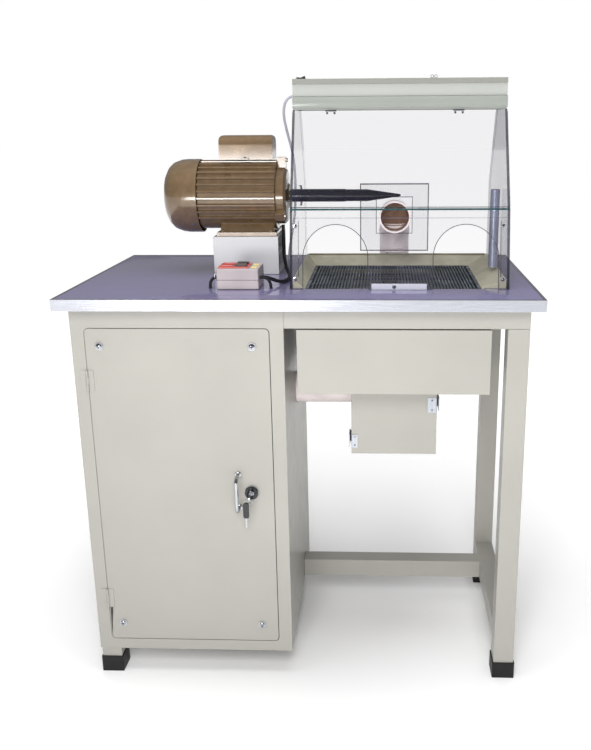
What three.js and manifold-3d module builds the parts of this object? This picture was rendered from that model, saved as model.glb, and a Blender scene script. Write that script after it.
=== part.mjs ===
// A jeweller's polishing bench: a steel table with a cabinet, a tapered-spindle motor and a clear dust hood.
// Millimetres, +Z up, front towards -Y. The origin is on the floor under the middle of the table top.
import * as THREE from "three";
import { mergeVertices } from "three/addons/utils/BufferGeometryUtils.js";
import { RoundedBoxGeometry } from "three/addons/geometries/RoundedBoxGeometry.js";
import Module from "manifold-3d";

const wasm = await Module();
wasm.setup();

// Driving dimensions
const GAP = 0.3; // clearance between touching pieces
const SHEET = 2; // steel sheet thickness

const table = { width: 1000, depth: 600, top: 888, thickness: 24, trim: 6, lip: 0.8 };
const leg = { size: 45, wall: 2, right: 475, front: -272, rear: 195, footHeight: 40, footWall: 2.5, pad: 8 };
const rail = { height: 42, width: 25 };
const cabinet = { left: -475, right: -30, bottom: 62 };
const doorway = { left: -447, right: -59, bottom: 87, top: 823 };
const door = { play: 1.5, corner: 9, flangeInset: 21, flangeDepth: 16, hingeY: -275, knuckle: 2.7 };
const lock = { x: -108.5, z: 457 };
const motor = { y: 75, z: 1064, left: -254, right: -75, bellRight: -50, bore: 68, finTip: 83 };
const stand = { left: -221, right: -69, front: -1, depth: 152, height: 88 };
const switchBox = { left: -179.5, right: -89.5, front: -193, depth: 84, height: 45 };
const acrylic = 5;
const hood = { left: -24, right: 441, front: -187, rear: 205, panelTop: 1056, lidTop: 1256.5 };
const outline = {
  frontFoot: [hood.front, table.top + GAP],
  panelTop: [-149, hood.panelTop],
  lidTop: [-47, hood.lidTop],
  rearTop: [121, hood.lidTop],
  rearBend: [hood.rear, 1090],
  rearFoot: [hood.rear, table.top + GAP],
};
const handHole = { radius: 69, springing: 65, centres: [73, 349] };
const lamp = { front: -41.5, rear: 118, bottom: 1256.8, top: 1321 };
const tray = { left: 8, right: 384, front: -172, rear: 140, rimTop: 908, ledge: 6 };
const pipe = { x: 203, y: 250, z: 1004, radius: 37.5, wall: 2.5 };
const chamber = { left: -4, right: 398, front: -268, rear: 150, bottom: 681, shoulder: 819 };
const dustBox = { left: 106, right: 293, front: -200, rear: 50, bottom: 521 };
const duct = { y: -20, z: 620, radius: 37.5 };
const blower = { y: -20, z: 620, radius: 118, left: -146, right: -52, outlet: [678, 738] };

const deck = table.top - table.thickness; // underside of the table top
const underRail = deck - rail.height - GAP;

// Materials
const paint = (color, roughness, metalness = 0) =>
  new THREE.MeshStandardMaterial({ color, roughness, metalness });
const greige = () => paint(0xc8c6b9, 0.5);
const clear = () =>
  new THREE.MeshStandardMaterial({ color: 0xdcdae6, roughness: 0.08, transparent: true, opacity: 0.35 });
const bronze = () => paint(0x7a5f3a, 0.38, 0.5);
const steel = () => paint(0xb8bcc0, 0.3, 1);
const blackPaint = () => paint(0x121214, 0.3);
const rubber = () => paint(0x1c1c1e, 0.85);
const pvc = () => paint(0xd9cfcf, 0.4);

// Solids and booleans
function solidOf(geometry) {
  const bare = geometry.clone();
  bare.deleteAttribute("normal");
  bare.deleteAttribute("uv");
  const merged = mergeVertices(bare, 1e-3);
  const vertProperties = merged.attributes.position.array;
  const triVerts = new Uint32Array(merged.index.array);
  return new wasm.Manifold(new wasm.Mesh({ numProp: 3, vertProperties, triVerts }));
}

function geometryOf(solid) {
  const mesh = solid.getMesh();
  const geometry = new THREE.BufferGeometry();
  geometry.setAttribute("position", new THREE.BufferAttribute(mesh.vertProperties, 3));
  geometry.setIndex(new THREE.BufferAttribute(mesh.triVerts, 1));
  return geometry;
}

const combine = (how) => (first, ...others) =>
  geometryOf(others.reduce((solid, other) => solid[how](solidOf(other)), solidOf(first)));
const join = combine("add");
const cut = combine("subtract");
const common = combine("intersect");

// Plain shapes
function block([x0, x1], [y0, y1], [z0, z1]) {
  const box = new THREE.BoxGeometry(x1 - x0, y1 - y0, z1 - z0);
  return box.translate((x0 + x1) / 2, (y0 + y1) / 2, (z0 + z1) / 2);
}

function roundedBlock([x0, x1], [y0, y1], [z0, z1], radius) {
  const box = new RoundedBoxGeometry(x1 - x0, y1 - y0, z1 - z0, 2, radius);
  return box.translate((x0 + x1) / 2, (y0 + y1) / 2, (z0 + z1) / 2);
}

const alongAxis = {
  x: (g) => g.rotateZ(-Math.PI / 2),
  y: (g) => g,
  z: (g) => g.rotateX(Math.PI / 2),
};

// A round bar along an axis, from one end to the other; centre gives the two other coordinates in order.
function rod(axis, radius, [from, to], centre, sides = 24) {
  const bar = alongAxis[axis](new THREE.CylinderGeometry(radius, radius, to - from, sides));
  const middle = (from + to) / 2;
  const place = { x: [middle, ...centre], y: [centre[0], middle, centre[1]], z: [...centre, middle] }[axis];
  return bar.translate(...place);
}

const pipeStretch = (axis, outer, inner, [from, to], centre, sides = 32) =>
  cut(rod(axis, outer, [from, to], centre, sides), rod(axis, inner, [from - 1, to + 1], centre, sides));

// A body turned about the X axis, from [x, radius] pairs that start and end on the axis.
function turned(profile, [y, z], sides = 32) {
  const points = profile.map(([x, radius]) => new THREE.Vector2(radius, x));
  return alongAxis.x(new THREE.LatheGeometry(points, sides)).translate(0, y, z);
}

const shapeOf = (points) => new THREE.Shape(points.map(([u, v]) => new THREE.Vector2(u, v)));
const extruded = (shape, depth, curveSegments = 6) =>
  new THREE.ExtrudeGeometry(shape, { depth, bevelEnabled: false, curveSegments });

// An outline in Y and Z drawn out along X.
function sideways(shape, [x0, x1], curveSegments) {
  const turn = new THREE.Matrix4().makeBasis(
    new THREE.Vector3(0, 1, 0), new THREE.Vector3(0, 0, 1), new THREE.Vector3(1, 0, 0));
  return extruded(shape, x1 - x0, curveSegments).applyMatrix4(turn).translate(x0, 0, 0);
}

// An outline in X and Z drawn out along Y.
const upright = (shape, [y0, y1], curveSegments) =>
  extruded(shape, y1 - y0, curveSegments).rotateX(Math.PI / 2).translate(0, y1, 0);

function roundedRect([x0, x1], [y0, y1], radius) {
  const shape = new THREE.Shape();
  shape.moveTo(x0 + radius, y0);
  shape.lineTo(x1 - radius, y0);
  shape.absarc(x1 - radius, y0 + radius, radius, -Math.PI / 2, 0);
  shape.lineTo(x1, y1 - radius);
  shape.absarc(x1 - radius, y1 - radius, radius, 0, Math.PI / 2);
  shape.lineTo(x0 + radius, y1);
  shape.absarc(x0 + radius, y1 - radius, radius, Math.PI / 2, Math.PI);
  shape.lineTo(x0, y0 + radius);
  shape.absarc(x0 + radius, y0 + radius, radius, Math.PI, 1.5 * Math.PI);
  return shape;
}

// A block whose top and bottom rectangles differ: each is [[x0, x1], [y0, y1], z].
function prismoid(bottom, top) {
  const corners = [bottom, top].flatMap(([[x0, x1], [y0, y1], z]) =>
    [x0, y0, z, x1, y0, z, x1, y1, z, x0, y1, z]);
  const faces = [0, 2, 1, 0, 3, 2, 4, 5, 6, 4, 6, 7];
  for (let i = 0; i < 4; i += 1) {
    const next = (i + 1) % 4;
    faces.push(i, next, next + 4, i, next + 4, i + 4);
  }
  const geometry = new THREE.BufferGeometry();
  geometry.setAttribute("position", new THREE.Float32BufferAttribute(corners, 3));
  geometry.setIndex(faces);
  return geometry;
}

// A cord of round section along a smooth curve.
function cord(points, radius, sides, steps) {
  const curve = new THREE.CatmullRomCurve3(points.map((p) => new THREE.Vector3(...p)));
  const section = Array.from({ length: sides }, (_, i) => {
    const angle = (2 * Math.PI * i) / sides;
    return [radius * Math.cos(angle), radius * Math.sin(angle)];
  });
  return new THREE.ExtrudeGeometry(shapeOf(section), { steps, bevelEnabled: false, extrudePath: curve });
}

const group = new THREE.Group();
function add(name, geometry, material) {
  const mesh = new THREE.Mesh(geometry, material);
  mesh.name = name;
  group.add(mesh);
  return mesh;
}

// Steel frame
function legsAndFeet() {
  const columns = { left: cabinet.left + SHEET + GAP, right: leg.right - leg.size };
  const rows = { front: leg.front + SHEET + GAP, rear: leg.rear - SHEET - GAP - leg.size };
  for (const [row, y] of Object.entries(rows)) {
    for (const [column, x] of Object.entries(columns)) {
      const span = (start, grow) => [start - grow, start + leg.size + grow];
      const tube = block(span(x, 0), span(y, 0), [leg.pad + GAP, underRail]);
      const hollow = block(span(x, -leg.wall), span(y, -leg.wall), [0, deck]);
      add(`leg_${row}_${column}`, cut(tube, hollow), greige());
      const shoe = block(span(x, leg.footWall), span(y, leg.footWall), [0, leg.footHeight]);
      const pocket = block(span(x, GAP), span(y, GAP), [leg.pad, leg.footHeight + 1]);
      add(`foot_${row}_${column}`, cut(shoe, pocket), rubber());
    }
  }
}

function topFrame() {
  const x = [cabinet.left + SHEET + GAP, leg.right];
  const y = [leg.front + SHEET + GAP, leg.rear - SHEET - GAP];
  const z = [deck - rail.height, deck - GAP];
  const inset = ([a, b], by) => [a + by, b - by];
  const inside = block(inset(x, rail.width), inset(y, rail.width), [z[0] - 1, z[1] + 1]);
  const channel = block(inset(x, SHEET), inset(y, SHEET), inset(z, SHEET));
  add("top_frame", cut(block(x, y, z), inside, channel), greige());
}

function stretcher() {
  const z = [78, 78 + leg.size];
  const side = [leg.right - leg.size, leg.right];
  const run = [leg.front + SHEET + GAP + leg.size + GAP, leg.rear - SHEET - GAP - leg.size - GAP];
  const crossY = [40, 40 + leg.size];
  const inset = ([a, b]) => [a + leg.wall, b - leg.wall];
  const tubes = join(block(side, run, z), block([cabinet.right + GAP, side[0] + 1], crossY, z));
  const hollows = join(
    block(inset(side), [run[0] - 1, run[1] + 1], inset(z)),
    block([cabinet.right - 1, side[0] + 10], inset(crossY), inset(z)),
  );
  add("stretcher", cut(tubes, hollows), greige());
}

// Cabinet
const upperHinge = [686, 732];
const lowerHinge = [170, 216];
const knuckle = ([z0, z1]) => rod("z", door.knuckle, [z0, z1], [doorway.left, door.hingeY], 12);

function carcass() {
  const x = [cabinet.left, cabinet.right];
  const y = [leg.front, leg.rear];
  const z = [cabinet.bottom, deck - GAP];
  const inset = ([a, b], by) => [a + by, b - by];
  const opening = roundedRect(
    [doorway.left, doorway.right], [doorway.bottom, doorway.top], door.corner + door.play);
  const legX = [x[0] + SHEET - 0.5, x[0] + SHEET + leg.size + 2 * GAP];
  const legDepth = leg.size + 2 * GAP;
  const legHoles = [
    [y[0] + SHEET - 0.5, y[0] + SHEET + legDepth],
    [y[1] - SHEET - legDepth, y[1] - SHEET + 0.5],
  ].map((span) => block(legX, span, [z[0] - 1, z[0] + SHEET + 0.5]));
  const shell = cut(
    block(x, y, z),
    block(inset(x, SHEET), inset(y, SHEET), [z[0] + SHEET, z[1] + 1]),
    block([x[1] - SHEET - 1, x[1] + 1], inset(y, SHEET), [underRail, z[1] + 1]),
    upright(opening, [y[0] - 1, y[0] + SHEET + 1], 4),
    rod("x", duct.radius + 2, [x[1] - 5, x[1] + 5], [duct.y, duct.z], 32),
    block(inset([blower.left, blower.right], 6), [y[1] - 5, y[1] + 1], inset(blower.outlet, 6)),
    ...legHoles,
  );
  const lip = block(
    [doorway.right + GAP, doorway.right + SHEET], [y[0] + 1, y[0] + door.flangeDepth],
    [z[0] + 1, underRail - 1]);
  const hinges = [upperHinge, lowerHinge].flatMap(([z0, z1]) => [
    block([doorway.left - 14, doorway.left - 3.5], [y[0] - 1.5, y[0] + 1], [z0, z1]),
    ...[[z0, z0 + 14], [z1 - 14, z1]].flatMap((part) => [
      knuckle(part),
      block([doorway.left - 4, doorway.left - 0.7], [door.hingeY - 0.6, y[0] + 1], part),
    ]),
  ]);
  add("cabinet_carcass", join(shell, lip, ...hinges), greige());
}

function cabinetDoor() {
  const x = [doorway.left + door.play, doorway.right - door.play];
  const z = [doorway.bottom + door.play, doorway.top - door.play];
  const y = leg.front;
  const panel = upright(roundedRect(x, z, door.corner), [y, y + SHEET], 4);
  const ring = ([a, b], by) => [a + by, b - by];
  const sideX = [x[0] + door.flangeInset, x[1] - 3];
  const flange = cut(
    block(sideX, [y + 1, y + door.flangeDepth], ring(z, 6)),
    block(ring(sideX, SHEET), [y, y + door.flangeDepth + 1], ring(z, 6 + SHEET)),
  );
  const hinges = [upperHinge, lowerHinge].flatMap(([z0, z1]) => [
    block([x[0] + 1, x[0] + 12], [y - 1.5, y + 1], [z0, z1]),
    knuckle([z0 + 14.5, z1 - 14.5]),
    block([doorway.left + 0.7, x[0] + 2], [door.hingeY - 0.6, y - 0.5], [z0 + 14.5, z1 - 14.5]),
  ]);
  const lockHole = rod("y", 9.3, [y - 1, y + 4], [lock.x, lock.z], 20);
  add("cabinet_door", cut(join(panel, flange, ...hinges), lockHole), greige());
}

function doorHandle() {
  const x = -137;
  const [low, high] = [421, 498];
  const [wall, reach, bend] = [leg.front - GAP, leg.front - 30, 9];
  const path = new THREE.CurvePath();
  const at = (y, z) => new THREE.Vector3(x, y, z);
  path.add(new THREE.LineCurve3(at(wall, low), at(reach + bend, low)));
  path.add(new THREE.QuadraticBezierCurve3(at(reach + bend, low), at(reach, low), at(reach, low + bend)));
  path.add(new THREE.LineCurve3(at(reach, low + bend), at(reach, high - bend)));
  path.add(new THREE.QuadraticBezierCurve3(at(reach, high - bend), at(reach, high), at(reach + bend, high)));
  path.add(new THREE.LineCurve3(at(reach + bend, high), at(wall, high)));
  const section = new THREE.Shape().absarc(0, 0, 4, 0, 2 * Math.PI);
  const bar = new THREE.ExtrudeGeometry(section, {
    steps: 26, bevelEnabled: false, curveSegments: 4, extrudePath: path,
  });
  const bases = [low, high].map((z) => rod("y", 7, [wall - 2.5, wall], [x, z], 16));
  add("door_handle", join(bar, ...bases), steel());
}

function doorLock() {
  const { x, z } = lock;
  const y = leg.front;
  const barrel = cut(
    join(rod("y", 15, [y - 6, y - GAP], [x, z], 28), rod("y", 9, [y - 1, y + 18], [x, z], 20)),
    rod("y", 6.3, [y - 7, y + 19], [x, z], 20),
  );
  add("lock_barrel", barrel, blackPaint());
  const hook = y - 35;
  const head = cut(
    rod("x", 11, [x - 1.5, x + 1.5], [y - 30, z], 20),
    rod("x", 3, [x - 2, x + 2], [hook, z], 12),
  );
  const key = join(
    rod("y", 6, [y - 8, y + 20.5], [x, z], 20),
    block([x - 1.2, x + 1.2], [y - 24, y - 7], [z - 4, z + 4]),
    head,
    block([x - 8, x + 8], [y + 18.5, y + 20.5], [z - 58, z + 8]),
  );
  add("lock_key", key, steel());

  // The spare key hangs on a ring through the hole in the key's head, a little to the left of it.
  const ring = new THREE.TorusGeometry(9, 1, 6, 20).rotateX(Math.PI / 2).translate(x - 3, hook, z - 8.5);
  const grip = roundedRect([x - 14.5, x - 2], [z - 45, z - 9], 5);
  const spare = join(
    ring,
    upright(grip, [hook - 2.5, hook + 2.5], 4),
    block([x - 10.7, x - 5.7], [hook - 1.1, hook + 1.1], [z - 68, z - 44]),
  );
  add("spare_key", spare, paint(0x161618, 0.4));
}

// Table top
function tableTop() {
  const rim = table.trim + GAP;
  const x = [-table.width / 2, table.width / 2];
  const y = [-table.depth / 2, table.depth / 2];
  const inset = ([a, b], by) => [a + by, b - by];
  const through = [deck - 1, table.top + 1];
  const cableHoles = [[-56, 105], [-197, -170], [-66, -172]].map((spot) => rod("z", 6, through, spot, 16));
  const slab = cut(
    block(inset(x, rim), inset(y, rim), [deck, table.top]),
    block([tray.left - 8, tray.right + 8], [tray.front - 8, tray.rear + 8], through),
    rod("z", pipe.radius + 1.5, through, [pipe.x, pipe.y], 32),
    ...cableHoles,
  );
  add("table_top", slab, paint(0x9a94b4, 0.25));
  const edge = cut(
    block(x, y, [deck, table.top + table.lip]),
    block(inset(x, table.trim), inset(y, table.trim), [deck - 1, table.top + 2]),
  );
  add("edge_trim", edge, paint(0xd8d9dc, 0.25, 1));
}

// Motor and spindle
function motorStand() {
  const x = [stand.left, stand.right];
  const y = [stand.front, stand.front + stand.depth];
  const z = [table.top + GAP, table.top + stand.height];
  const outer = block(x, y, z);
  const bay = (z0, z1) => block([x[0] + SHEET, x[1] + 1], [y[0] + SHEET, y[1] - SHEET], [z0, z1]);
  const shelf = z[0] + 46;
  const shelves = cut(outer, bay(z[0] + SHEET, shelf), bay(shelf + SHEET, z[1] - SHEET));
  add("motor_stand", shelves, paint(0xdfe2e2, 0.45));
}

// The housing's section: a round body with straight fins over the top and sides.
function finnedSection() {
  const points = [];
  const root = 76;
  const half = 0.022;
  const at = (radius, angle) => [motor.y + radius * Math.cos(angle), motor.z + radius * Math.sin(angle)];
  const pitch = Math.PI / 16;
  const first = -3 * pitch;
  for (let i = 0; i <= 22; i += 1) {
    const angle = first + i * pitch;
    points.push(at(root, angle - 1.8 * half), at(motor.finTip, angle - half));
    points.push(at(motor.finTip, angle + half), at(root, angle + 1.8 * half));
  }
  const last = first + 22 * pitch;
  const rest = 2 * Math.PI - (last - first);
  for (let i = 1; i < 9; i += 1) points.push(at(root + 1, last + (rest * i) / 9));
  return shapeOf(points);
}

function motorBody() {
  const { y, z, left, right } = motor;
  const base = table.top + stand.height + GAP;
  const foot = join(
    block([-213, -73], [y - 68, y + 68], [base, base + 9]),
    prismoid([[-206, -80], [y - 58, y + 58], base + 5], [[-206, -80], [y - 40, y + 40], z - 50]),
  );
  const bolts = [-199, -87].flatMap((bx) =>
    [y - 62, y + 62].map((by) => rod("z", 4.5, [base + 8, base + 14], [bx, by], 6)));
  const housing = cut(
    join(sideways(finnedSection(), [left, right]), foot, ...bolts),
    rod("x", motor.bore, [left + 8, right + 1], [y, z], 32),
    rod("x", 13, [left - 1, left + 9], [y, z], 24),
  );
  add("motor_housing", housing, bronze());
  const winding = pipeStretch("x", motor.bore - 2 * GAP, 40, [-222, -108], [y, z], 32);
  add("stator", winding, paint(0x8a4a22, 0.6, 0.3));
  const shaft = turned([
    [-312, 0], [-312, 8], [-262, 8], [-262, 12], [-212, 12], [-212, 39],
    [-118, 39], [-118, 12], [-44, 12], [-44, 9.5], [-2, 9.5], [-2, 0],
  ], [y, z], 20);
  add("rotor_shaft", shaft, steel());

  const lugs = [90, 210, 330].map((degrees) => {
    const turn = THREE.MathUtils.degToRad(degrees);
    return block([right + GAP, motor.bellRight - 4], [50, 89], [-9, 9]).rotateX(turn).translate(0, y, z);
  });
  const lugBolts = [90, 210, 330].map((degrees) => {
    const turn = THREE.MathUtils.degToRad(degrees);
    const centre = [y + 82 * Math.cos(turn), z + 82 * Math.sin(turn)];
    return rod("x", 4.5, [right + 5, motor.bellRight], centre, 6);
  });
  const { bellRight } = motor;
  const dish = turned([
    [right + GAP, 0], [right + GAP, 66], [bellRight - 7, 66], [bellRight - 1, 58],
    [bellRight, 30], [bellRight + 4, 24], [bellRight + 4, 0],
  ], [y, z], 32);
  const bell = cut(join(dish, ...lugs, ...lugBolts),
    rod("x", 58, [right - 1, right + 14], [y, z], 28),
    rod("x", 12.4, [right - 1, motor.bellRight + 6], [y, z], 20));
  add("end_bell", bell, bronze());
}

function fanEnd() {
  const { y, z, left } = motor;
  const rim = left - GAP;
  const end = -338;
  const shell = (grow, lip) => [[end + grow, 0], [end + grow, 40], [end + grow + 3, 55],
    [end + grow + 10, 68], [end + grow + 21, 78 - grow / 2], [end + 38, 84 - grow], [end + 52, 85.5 - grow],
    [lip, 85.5 - grow], [lip, 0]];
  const slots = Array.from({ length: 8 }, (_, i) =>
    block([end - 1, end + 4], [14, 36], [-3, 3]).rotateX((Math.PI * i) / 4).translate(0, y, z));
  const outer = turned(shell(0, rim), [y, z], 32);
  const inner = turned(shell(SHEET, rim + 1), [y, z], 32);
  add("fan_cover", cut(outer, inner, ...slots), bronze());
  const blades = Array.from({ length: 8 }, (_, i) =>
    block([-296, -270], [12, 66], [-1.5, 1.5]).rotateX((Math.PI * i) / 4).translate(0, y, z));
  const hub = rod("x", 18, [-300, -268], [y, z], 24);
  const fan = cut(join(hub, ...blades), rod("x", 8.3, [-301, -267], [y, z], 20));
  add("cooling_fan", fan, paint(0x26262a, 0.5));
}

function capacitorBox() {
  const low = motor.z + motor.finTip + GAP + 1.5;
  const [x, y, z] = [[-206, -81], [motor.y - 34, motor.y + 34], [low, 1203]];
  const front = upright(roundedRect([x[0], x[1]], [z[0] - 12, z[1]], 9), y, 4);
  const side = sideways(roundedRect([y[0], y[1]], [z[0] - 30, z[1]], 22), x, 6);
  const box = common(front, side, block(x, y, z));
  const ear = block([-155, -137], [y[0] - 7, y[0] + 1], [low, low + 3]);
  const hollow = block([x[0] + 5, x[1] - 5], [y[0] + 6, y[1] - 6], [low - 1, z[1] - 12]);
  add("capacitor_box", cut(join(box, ear), hollow), bronze());
}

function spindle() {
  const at = [motor.y, motor.z];
  const sleeve = cut(
    turned([[-43.5, 0], [-43.5, 13.5], [-42, 15], [84.5, 15], [86, 14], [86, 0]], at),
    rod("x", 9.8, [-45, 0], at),
    rod("x", 8.3, [58, 87], at),
  );
  add("spindle_sleeve", sleeve, blackPaint());
  const taper = turned([
    [60, 0], [60, 8], [86.3, 8], [86.3, 14], [138, 14], [140, 13.6], [213, 2.8], [215.5, 1.2], [215.5, 0],
  ], at);
  add("taper_spindle", taper, blackPaint());
}

// Push-button switches for the motor and the blower
function switches() {
  const x = [switchBox.left, switchBox.right];
  const y = [switchBox.front, switchBox.front + switchBox.depth];
  const z = [table.top + GAP, table.top + switchBox.height];
  const buttons = { start: [-142, -117], stop: [-172, -147] };
  const modules = { motor: y[0] + 12, blower: y[0] + 46 };
  const grow = ([a, b], by) => [a - by, b + by];
  const holes = [];
  for (const [module, y0] of Object.entries(modules)) {
    for (const [kind, span] of Object.entries(buttons)) {
      const depth = [y0, y0 + 19];
      const top = z[1] + (kind === "start" ? 7 : 4);
      holes.push(block(grow(span, 0.6), grow(depth, 0.6), [z[1] - 8, z[1] + 1]));
      const cap = block(span, depth, [z[1] - 6, top]);
      add(`${kind}_button_${module}`, cap, kind === "stop" ? paint(0xa83a30, 0.4) : paint(0x3a2a2a, 0.4));
    }
  }
  const shell = roundedBlock(x, y, z, 3);
  const inside = block(grow(x, -3), grow(y, -3), [z[0] + 3, z[1] - 3]);
  add("switch_case", cut(shell, inside, ...holes), paint(0xc8bfc6, 0.4));
}

// Dust hood
// The line through two outline corners, moved into the hood by a distance.
function insetLine([y0, z0], [y1, z1], by) {
  const length = Math.hypot(y1 - y0, z1 - z0);
  const normal = [(z1 - z0) / length, -(y1 - y0) / length];
  const along = [(y1 - y0) / length, (z1 - z0) / length];
  return { point: [y0 + normal[0] * by, z0 + normal[1] * by], along };
}

function crossing(a, b) {
  const det = a.along[0] * b.along[1] - a.along[1] * b.along[0];
  const dy = b.point[0] - a.point[0];
  const dz = b.point[1] - a.point[1];
  const t = (dy * b.along[1] - dz * b.along[0]) / det;
  return [a.point[0] + a.along[0] * t, a.point[1] + a.along[1] * t];
}

// A flat sheet of acrylic between two points of its outer face, with square ends.
function sheetBetween(from, to, trimFrom = 0, trimTo = 0) {
  const { along } = insetLine(from, to, 0);
  const inner = insetLine(from, to, acrylic);
  const shift = [inner.point[0] - from[0], inner.point[1] - from[1]];
  const a = [from[0] + along[0] * trimFrom, from[1] + along[1] * trimFrom];
  const b = [to[0] - along[0] * trimTo, to[1] - along[1] * trimTo];
  return shapeOf([a, [a[0] + shift[0], a[1] + shift[1]], [b[0] + shift[0], b[1] + shift[1]], b]);
}

function hoodSides() {
  const o = outline;
  const by = acrylic + GAP;
  const front = insetLine(o.frontFoot, o.panelTop, by);
  const lid = insetLine(o.panelTop, o.lidTop, by);
  const slope = insetLine(o.rearTop, o.rearBend, by);
  const back = insetLine(o.rearBend, o.rearFoot, by);
  const floor = { point: [0, table.top + GAP], along: [1, 0] };
  const roof = { point: [0, hood.lidTop], along: [1, 0] };
  const corners = [crossing(front, floor), crossing(front, lid), crossing(lid, roof),
    crossing(slope, roof), crossing(slope, back), crossing(back, floor)];
  const profile = shapeOf(corners);
  const leftSheet = sideways(profile, [hood.left, hood.left + acrylic]);
  const spindleHole = rod("x", 24, [hood.left - 1, hood.left + acrylic + 1], [motor.y, motor.z], 32);
  add("hood_side_left", cut(leftSheet, spindleHole), clear());
  add("hood_side_right", sideways(profile, [hood.right - acrylic, hood.right]), clear());
}

function hoodRear() {
  const o = outline;
  const slope = insetLine(o.rearTop, o.rearBend, acrylic);
  const back = insetLine(o.rearBend, o.rearFoot, acrylic);
  const bend = crossing(slope, back);
  const roof = crossing(slope, { point: [0, hood.lidTop], along: [1, 0] });
  const foot = [hood.rear - acrylic, o.rearFoot[1]];
  const profile = shapeOf([o.rearTop, roof, bend, foot, o.rearFoot, o.rearBend]);
  const wall = sideways(profile, [hood.left, hood.right]);
  const around = (middle) => [middle - 46, middle + 46];
  const mouth = block(around(pipe.x), [hood.rear - 10, hood.rear + 5], around(pipe.z));
  add("hood_rear", cut(wall, mouth), clear());
  const plateY = [hood.rear - acrylic - 6 - GAP, hood.rear - acrylic - GAP];
  const plate = cut(
    block([pipe.x - 87, pipe.x + 85], plateY, [915, 1083]),
    rod("y", pipe.radius + 3.5, [plateY[0] - 1, plateY[1] + 1], [pipe.x, pipe.z], 40),
  );
  add("cover_plate", plate, clear());
}

function hoodFront() {
  const panel = sideways(sheetBetween(outline.frontFoot, outline.panelTop, 1, 2), [hood.left, hood.right]);
  const holes = handHole.centres.map((x) => {
    const shape = new THREE.Shape();
    const low = table.top - 20;
    const spring = table.top + handHole.springing;
    shape.moveTo(x - handHole.radius, low);
    shape.lineTo(x + handHole.radius, low);
    shape.lineTo(x + handHole.radius, spring);
    shape.absarc(x, spring, handHole.radius, 0, Math.PI);
    return upright(shape, [hood.front - 10, hood.front + 60], 14);
  });
  add("hood_front", cut(panel, ...holes), clear());
  const bracket = block([150, 267], [hood.front - 4, hood.front - 1.5], [table.top + GAP, table.top + 13]);
  add("panel_bracket", bracket, paint(0xc9cbce, 0.35, 1));
}

function hoodLid() {
  const lid = sheetBetween(outline.panelTop, outline.lidTop, 2, 4);
  add("hood_lid", sideways(lid, [hood.left, hood.right]), clear());
  const strip = block([hood.left, hood.right], [lamp.front - GAP - acrylic, lamp.front - GAP], [1260, 1284]);
  add("header_strip", strip, clear());
}

function lampHousing() {
  const x = [hood.left + 0.5, hood.right - 1];
  const y = [lamp.front, lamp.rear];
  const z = [lamp.bottom, lamp.top];
  const inset = ([a, b], by) => [a + by, b - by];
  const lip = block(x, [y[0] - 3, y[0] + 1], [lamp.top - 11, lamp.top]);
  const rockerHole = block([-15.6, 4.6], [-34.6, -19.4], [z[1] - 5, z[1] + 1]);
  const body = cut(
    join(block(x, y, z), lip),
    block(inset(x, SHEET), inset(y, SHEET), [z[0] - 1, z[1] - SHEET]),
    rockerHole,
    rod("x", 4, [x[0] - 1, x[0] + 5], [20, 1287], 12),
  );
  add("lamp_housing", body, paint(0xcdd0cc, 0.4));
  const lampY = (y[0] + y[1]) / 2;
  const ends = [[x[0] + SHEET + GAP, x[0] + 22], [x[1] - 22, x[1] - SHEET - GAP]];
  const tube = join(
    rod("x", 13, [x[0] + 10, x[1] - 10], [lampY, 1294], 20),
    ...ends.map((span) => block(span, [lampY - 15, lampY + 15], [1278, lamp.top - SHEET - GAP])),
  );
  add("lamp_tube", tube, paint(0xf4f6f4, 0.4));
  const key = shapeOf([[-9.2, -4], [9.2, -4], [9.2, 4], [0, 1.5], [-9.2, 4]]);
  const tilted = upright(key, [-6.8, 6.8]);
  const switchKey = add("lamp_rocker", tilted, blackPaint());
  switchKey.position.set(-5.5, -27, lamp.top + 1.5);
  switchKey.rotation.y = THREE.MathUtils.degToRad(-8);
}

// Extraction pipe: a square-faced elbow in the hood and a drop pipe to the dust chamber
class QuarterTurn extends THREE.Curve {
  constructor(centre, radius) {
    super();
    this.centre = centre;
    this.radius = radius;
  }

  getPoint(t) {
    const angle = (t * Math.PI) / 2;
    const [x, y, z] = this.centre;
    return new THREE.Vector3(x, y + this.radius * Math.cos(angle), z + this.radius * Math.sin(angle));
  }
}

function bend(radius, turn, centre) {
  const section = new THREE.Shape().absarc(0, 0, radius, 0, 2 * Math.PI);
  return new THREE.ExtrudeGeometry(section, {
    steps: 6, curveSegments: 10, bevelEnabled: false, extrudePath: new QuarterTurn(centre, turn),
  });
}

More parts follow.
